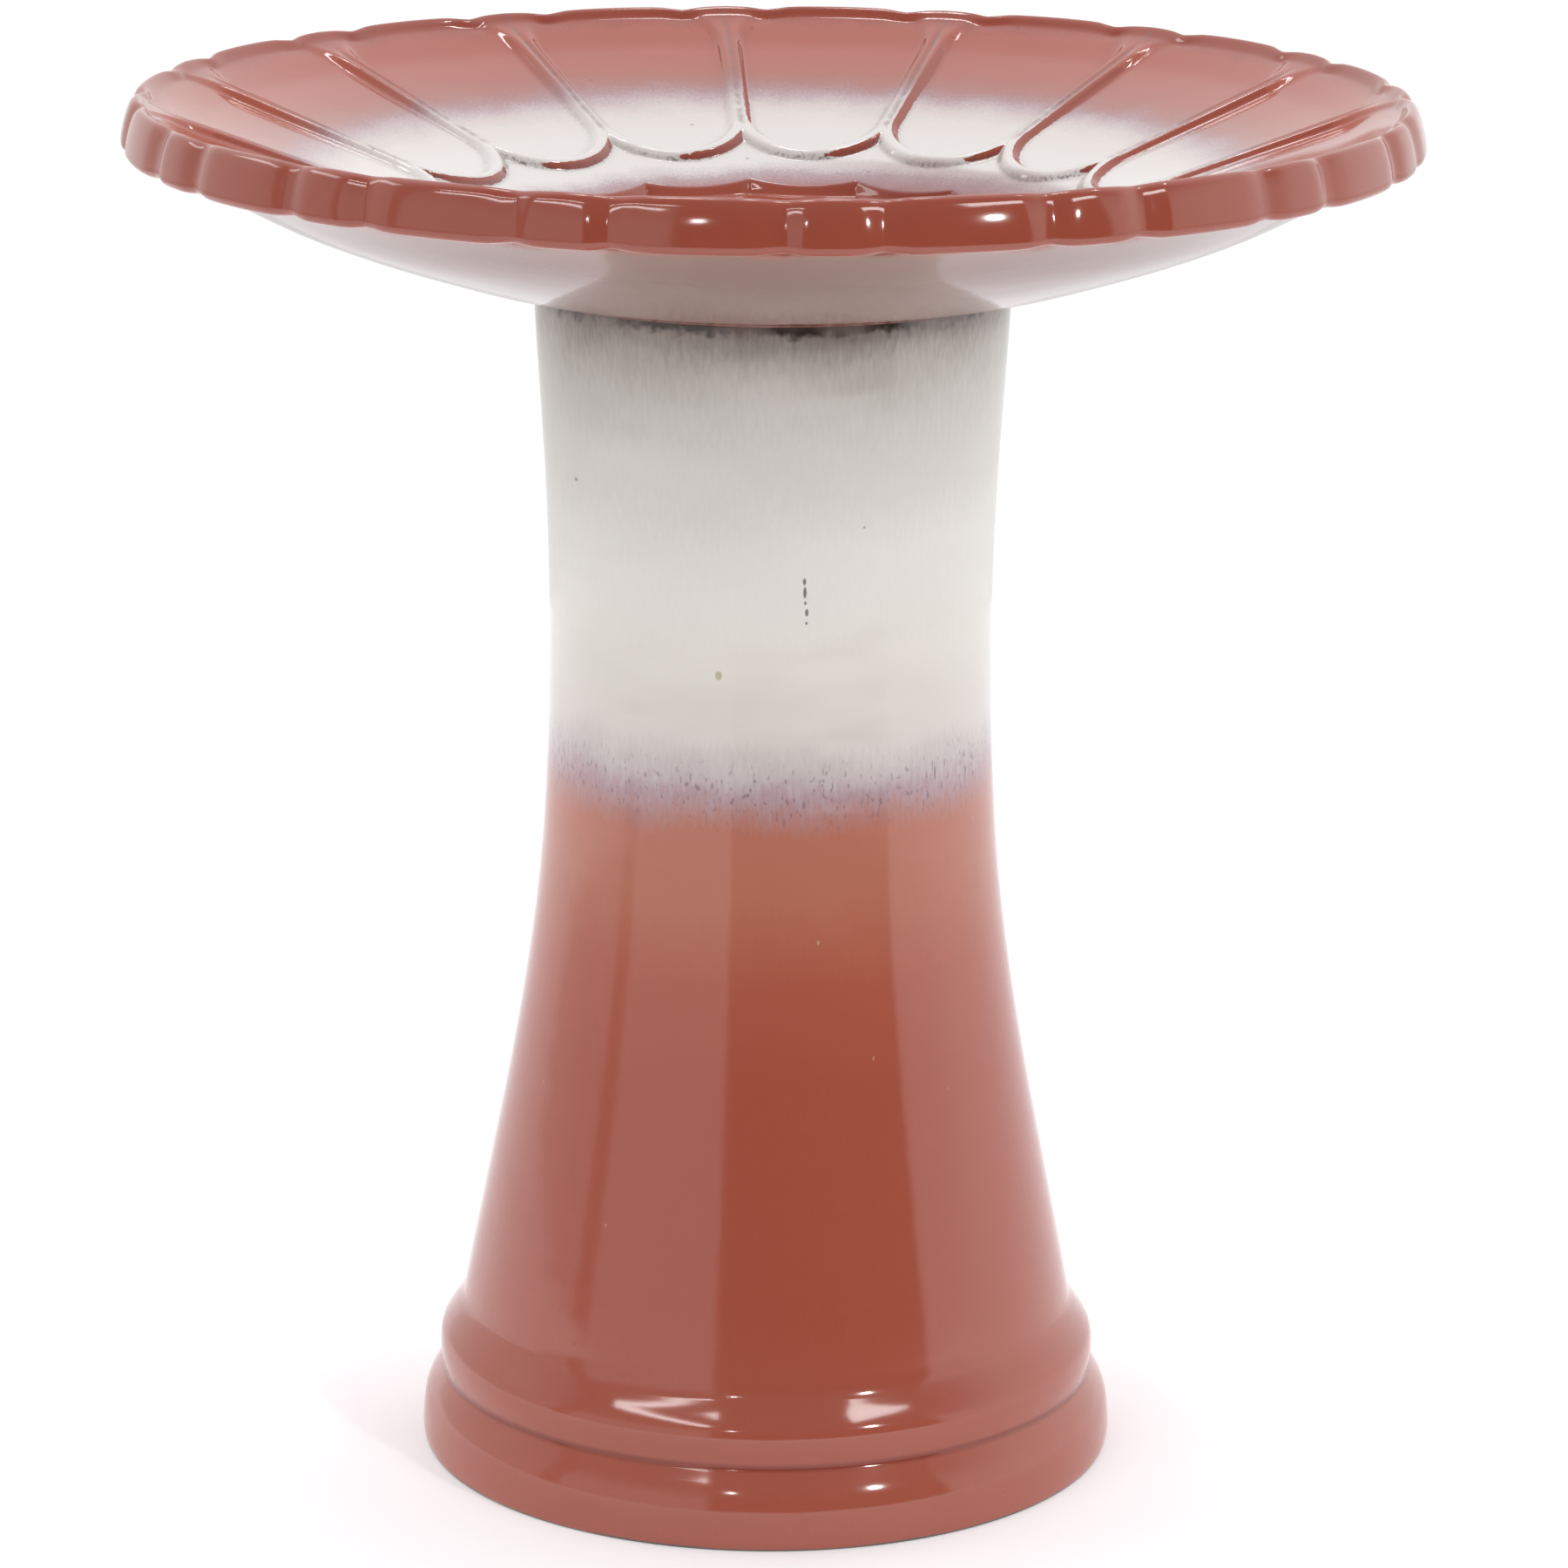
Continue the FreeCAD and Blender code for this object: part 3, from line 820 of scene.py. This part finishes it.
    def shape(self, shell: bmesh.types.BMesh, outside: bool) -> None:
        """Move every point of a spun shell to its place and mark what the glaze does there and where
        shade is painted.

        Args:
            shell: The spun shell.
            outside: Whether it is the outer face or the inner one.
        """
        side, fold, crest, hollow = (shell.verts.layers.float.new(name)
                                   for name in ("outside", "fold", "crest", "hollow"))
        petal = 2 * self.half_spokes
        known: dict[tuple[float, float, int], tuple[float, ...]] = {}
        for point in shell.verts:
            ring = round(math.hypot(point.co.x, point.co.y) / MM, 3)
            height = round(point.co.z / MM, 3)
            spoke = round((math.atan2(point.co.y, point.co.x) % math.tau) * petal * self.petals
                          / math.tau)
            rib = (spoke + self.half_spokes - 1) // petal
            count = abs(spoke - rib * petal)
            if (ring, height, count) not in known:
                known[ring, height, count] = (
                    (*self.outside_point(ring, height, count), 0.0, 0.0, 0.0) if outside
                    else self.marked_point(ring, count))
            radius, angle, height, folded, crested, low = known[ring, height, count]
            turn = 2 * self.half_angle * rib + (angle if spoke >= rib * petal else -angle)
            point.co = (radius * MM * math.cos(turn), radius * MM * math.sin(turn),
                        self.seat + height * MM)
            point[side], point[fold], point[crest], point[hollow] = (
                float(outside), folded, crested, low)

    def marked_point(self, ring: float, count: int) -> tuple[float, ...]:
        """Place one point of the inner face and say how the glaze and the painted shade lie on it.

        Args:
            ring: Radius of its ring.
            count: Number of spokes from the nearest rib.

        Returns:
            Radius, angle from the rib, height, painted shade and specks in a fold, thinning on a
            crest, and whether the point lies in the sunk floor.
        """
        radius, angle, height = self.inside_point(ring, count)
        low = 1.0 - ease(107.2, 108.2, ring)
        if ring <= self.floor_top:
            return radius, angle, height, 0.0, 0.0, low
        off = self.off_panel(radius, self.half_angle - angle)
        belt = 1.0 - ease(168.0, 196.0, radius)
        # painted shade at the foot of the petal-end walls and beside the feet of the ribs
        beside = bump(-0.8, 1.0, off) * 0.4 * belt * ease(self.wall_top, 138.0, ring)
        thin = bump(0.0, 1.3, radius * math.sin(angle)) * ease(*self.groove_start, radius)
        return radius, angle, height, max(bump(128.3, 1.0, ring), beside), thin, low

    def mark_unsprayed(self, shell: bmesh.types.BMesh) -> None:
        """Mark the small walls that face away from the spray."""
        mark = shell.verts.layers.float.new("unsprayed")
        side = shell.verts.layers.float["outside"]
        shell.normal_update()
        way = Vector(self.spray).normalized()
        lean = self.crest_slope / math.hypot(1.0, self.crest_slope)
        for point in shell.verts:
            flat = Vector(point.co.xy)
            radius = flat.length / MM
            if point[side] > 0.5 or radius < 116.0 or radius > 236.0:
                continue
            normal = point.normal if point.normal.z > 0 else -point.normal
            local = Vector(normal.xy) + flat.normalized() * lean
            point[mark] = ease(*self.missed, local.dot(way)) * (1.0 - ease(205.0, 232.0, radius))

    def build(self) -> bpy.types.Object:
        """Build the basin and dress it.

        Returns:
            The finished piece.
        """
        whole = self.inside()
        outer = self.outside()
        spare = bpy.data.meshes.new("rim")
        outer.to_mesh(spare)
        outer.free()
        whole.from_mesh(spare)
        bpy.data.meshes.remove(spare)
        bmesh.ops.remove_doubles(whole, verts=whole.verts, dist=0.05 * MM)
        bmesh.ops.recalc_face_normals(whole, faces=whole.faces)
        self.mark_unsprayed(whole)
        piece = finished(whole, "glazed_basin")
        piece.data.materials.append(self.glaze.material())
        return piece


@dataclass
class Pedestal:
    """The hollow foot: a stepped plinth, a bead, and a shaft that narrows to a waist.

    Radii are millimetres from the axis and heights are millimetres above the ground.
    """

    low: Vector
    glaze: PedestalGlaze = field(default_factory=PedestalGlaze)
    spokes: int = 14             # steps in each sixteenth of the turn

    def outline(self) -> list[tuple[float, float]]:
        """Give the outer outline from the ground to the mouth."""
        plinth = smooth_run([(139.4, 0.0), (140.5, 1.2), (141.0, 5.0), (140.8, 10.0),
                             (140.3, 15.0), (139.3, 19.5), (137.4, 23.8), (134.9, 28.0),
                             (133.3, 30.7)], 3)
        bead = smooth_run([(132.7, 31.6), (132.8, 33.4), (133.3, 37.0), (133.5, 41.0),
                           (132.9, 45.5), (130.9, 49.2), (128.0, 53.5), (125.4, 57.6)], 3)
        shaft = smooth_run([(124.0, 60.4), (123.2, 64.0), (122.1, 70.0), (120.2, 80.0),
                            (116.2, 100.0), (110.2, 130.0), (104.3, 160.0), (97.5, 200.0),
                            (92.4, 240.0), (89.6, 280.0), (88.4, 320.0), (88.3, 360.0),
                            (89.6, 400.0), (91.4, 430.0), (93.3, 460.0), (93.9, 474.0)], 3)
        mouth = smooth_run([(93.8, 477.0), (93.0, 479.2), (91.2, 480.0), (88.9, 480.0)], 3)
        return plinth + bead + shaft + mouth

    def hollow(self) -> list[tuple[float, float]]:
        """Give the inner outline from the mouth back down to the ground."""
        return smooth_run([(86.6, 479.4), (84.6, 476.5), (83.8, 466.0), (82.0, 436.0),
                           (79.6, 400.0), (78.3, 360.0), (78.4, 320.0), (79.6, 280.0),
                           (82.4, 240.0), (87.5, 200.0), (94.3, 160.0), (100.2, 130.0),
                           (106.2, 100.0), (112.5, 68.0), (120.0, 40.0), (127.4, 12.0),
                           (128.6, 3.0), (129.6, 0.4), (130.6, 0.0)], 2)

    def build(self) -> bpy.types.Object:
        """Build the pedestal, dress it and return the finished piece."""
        section = self.outline() + self.hollow() + [(139.4, 0.0)]
        shell = spun(section, self.spokes)
        bmesh.ops.translate(shell, verts=shell.verts, vec=(0, 0, self.low.z))
        piece = finished(shell, "glazed_pedestal")
        piece.data.materials.append(self.glaze.material())
        return piece


# ---------------------------------------------------------------- the studio


@dataclass
class Studio:
    """A plain white table, a camera a little above the rim and the lights around them."""

    low: Vector
    high: Vector
    distance: float = 2.4207     # metres from the axis, and above the ground
    eye: float = 0.9182
    lens: float = 143.156        # millimetres
    pitch: float = 14.907
    bearing: float = -5.0        # degrees, the side that the camera stands on
    yaw: float = 0.136
    roll: float = 0.4
    table_radius: float = 1.5
    table_glow: float = 0.24
    throw: float = 2.2           # metres from a light to the basin
    aim: float = 0.75            # share of the object's height that the lights face
    lights: tuple[tuple[float, float, tuple[float, float], float], ...] = (
        # degrees to the camera's right, degrees up, width and height in metres, watts
        (-41.0, 32.5, (1.35, 0.09), 3.9),
        (-41.1, 40.5, (1.35, 0.07), 3.5),
        (-100.0, 37.0, (1.30, 0.32), 4.6),
        (105.0, 62.0, (0.12, 0.12), 1.6),
        (46.0, 36.0, (0.80, 0.30), 6.8),
        (-12.0, 22.0, (0.09, 0.09), 0.8),
        (38.0, 21.0, (0.09, 0.09), 7.5),
        (-157.0, 72.0, (0.30, 0.30), 3.6),
        (165.0, 72.0, (0.30, 0.30), 3.2))
    walls: dict[float, float] = field(default_factory=lambda: {
        -180: 1.4, -120: 1.15, -79: 0.95, -78: 0.4, -71: 0.4, -70: 1.0, -19.5: 1.0,
        -18: 0.04, 61: 0.04, 63: 1.25, 95: 1.6, 125: 1.6, 150: 1.5, 180: 1.4})
    low_wall: Colour = (0.78, 0.78, 0.78, 1.0)
    front_roof: Colour = (0.26, 0.26, 0.28, 1.0)
    back_roof: Colour = (1.4, 1.4, 1.47, 1.0)
    backdrop: Colour = (1.3, 1.3, 1.3, 1.0)

    @property
    def away(self) -> Vector:
        """Level direction from the camera to the object's axis."""
        turn = math.radians(-self.bearing)
        return Vector((math.sin(turn), math.cos(turn), 0.0))

    def camera(self) -> None:
        """Stand the camera and make it the scene's own."""
        lens = bpy.data.cameras.new("studio_camera")
        lens.lens = self.lens
        lens.sensor_width = 36.0
        eye = bpy.data.objects.new("studio_camera", lens)
        bpy.context.collection.objects.link(eye)
        forward = Matrix.Rotation(math.radians(-self.yaw), 3, "Z") @ self.away
        right = Vector((forward.y, -forward.x, 0.0))
        forward = Matrix.Rotation(math.radians(-self.pitch), 3, right) @ forward
        up = right.cross(forward)
        lean = Matrix.Rotation(math.radians(-self.roll), 3, forward)
        right, up = lean @ right, lean @ up
        base = Matrix((right, up, -forward)).transposed().to_4x4()
        middle = (self.low + self.high) / 2
        place = Vector((middle.x, middle.y, self.low.z + self.eye)) - self.away * self.distance
        eye.matrix_world = Matrix.Translation(place) @ base
        bpy.context.scene.camera = eye

    def table(self) -> None:
        """Lay the white table that the pedestal stands on."""
        top = bmesh.new()
        bmesh.ops.create_circle(top, cap_ends=True, segments=96, radius=self.table_radius)
        bmesh.ops.translate(top, verts=top.verts, vec=(0, 0, self.low.z))
        mesh = bpy.data.meshes.new("white_table")
        top.to_mesh(mesh)
        top.free()
        floor = bpy.data.objects.new("white_table", mesh)
        bpy.context.collection.objects.link(floor)
        paper = bpy.data.materials.new("white paper")
        paper.use_nodes = True
        shader = paper.node_tree.nodes["Principled BSDF"]
        shader.inputs["Base Color"].default_value = linear("#fbfbfc")
        shader.inputs["Roughness"].default_value = 0.9
        shader.inputs["Specular IOR Level"].default_value = 0.1
        shader.inputs["Emission Color"].default_value = linear("#ffffff")
        shader.inputs["Emission Strength"].default_value = self.table_glow
        mesh.materials.append(paper)

    def softbox(self, name: str, side: float, height: float, size: tuple[float, float],
                power: float) -> None:
        """Hang one soft light that faces the basin.

        Args:
            name: Name of the light.
            side: Degrees to the right of the camera, seen from the object.
            height: Degrees above the horizon.
            size: Width and height in metres.
            power: Light output in watts.
        """
        data = bpy.data.lights.new(name, "AREA")
        data.shape = "RECTANGLE"
        data.size, data.size_y = size
        data.energy = power
        lamp = bpy.data.objects.new(name, data)
        bpy.context.collection.objects.link(lamp)
        level = Matrix.Rotation(math.radians(side), 3, "Z") @ -self.away
        ray = level * math.cos(math.radians(height)) + Vector((0, 0, math.sin(math.radians(height))))
        target = Vector((0.0, 0.0, self.high.z * self.aim))
        lamp.matrix_world = Matrix.Translation(target + ray * self.throw) @ ray.to_track_quat(
            "Z", "Y").to_matrix().to_4x4()
        lamp.visible_camera = False

    def surroundings(self) -> None:
        """Surround the table with a white room that is dark only behind the camera."""
        world = bpy.data.worlds.new("white_room")
        bpy.context.scene.world = world
        world.use_nodes = True
        world.node_tree.nodes.clear()
        node = partial(add_node, world.node_tree)
        way = node("TexCoord").outputs["Generated"]
        turned = node("VectorRotate", feeds={"Vector": way, "Angle": math.radians(-self.bearing)},
                      rotation_type="Z_AXIS")
        across, along, up = node("SeparateXYZ", turned).outputs

        # the walls, by their bearing from the camera's side
        toward = node("Math", along, -1.0, operation="MULTIPLY")
        around = node("Math", across, toward, operation="ARCTAN2")
        share = node("Math", around, 1.0 / math.tau, 0.5, operation="MULTIPLY_ADD")
        wall = set_stops(node("ValToRGB", share), {
            side / 360.0 + 0.5: (glow, glow, glow, 1.0) for side, glow in self.walls.items()})
        low = node("MapRange", up, -0.22, -0.08, 1.0, 0.0, **SMOOTH)
        wall = node("Mix", low, wall, self.low_wall, **TINT)

        # the ceiling, brighter at the back
        back = node("MapRange", along, -0.35, 0.35, **SMOOTH)
        roof = node("Mix", back, self.front_roof, self.back_roof, **RGBA)
        height = node("MapRange", up, 0.25, 0.7, **SMOOTH)
        sky = node("Mix", height, wall, roof, **RGBA)
        seen = node("LightPath").outputs["Is Camera Ray"]
        shown = node("Mix", seen, sky, self.backdrop, **RGBA)
        light = node("Background", shown, 0.8)
        node("OutputWorld", feeds={"Surface": light.outputs["Background"]})

    def build(self) -> None:
        """Set up the whole studio."""
        self.camera()
        self.table()
        for side, height, size, power in self.lights:
            self.softbox(f"softbox_{side:.0f}", side, height, size, power)
        self.surroundings()
        bpy.context.scene.view_settings.view_transform = "Standard"


def tie(piece: bpy.types.Object, part: Part) -> None:
    """Let a piece stand for its CAD node and ride on its body.

    Args:
        piece: The finished piece.
        part: The part that it stands for.
    """
    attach(piece, part.value)
    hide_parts(part.value)
    log.info("%s: %d faces", piece.name, len(piece.data.polygons))


def main() -> None:
    """Build the studio and the two pieces."""
    logging.basicConfig(level=logging.INFO, format="%(name)s %(message)s")
    low, high = (Vector(corner) for corner in CAD_BOX)
    Studio(low, high).build()
    tie(Pedestal(Vector(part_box(Part.PEDESTAL.value)[0])).build(), Part.PEDESTAL)
    tie(Basin(Vector(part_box(Part.BASIN.value)[0])).build(), Part.BASIN)
    bpy.context.view_layer.update()


if __name__ == "__main__":
    main()
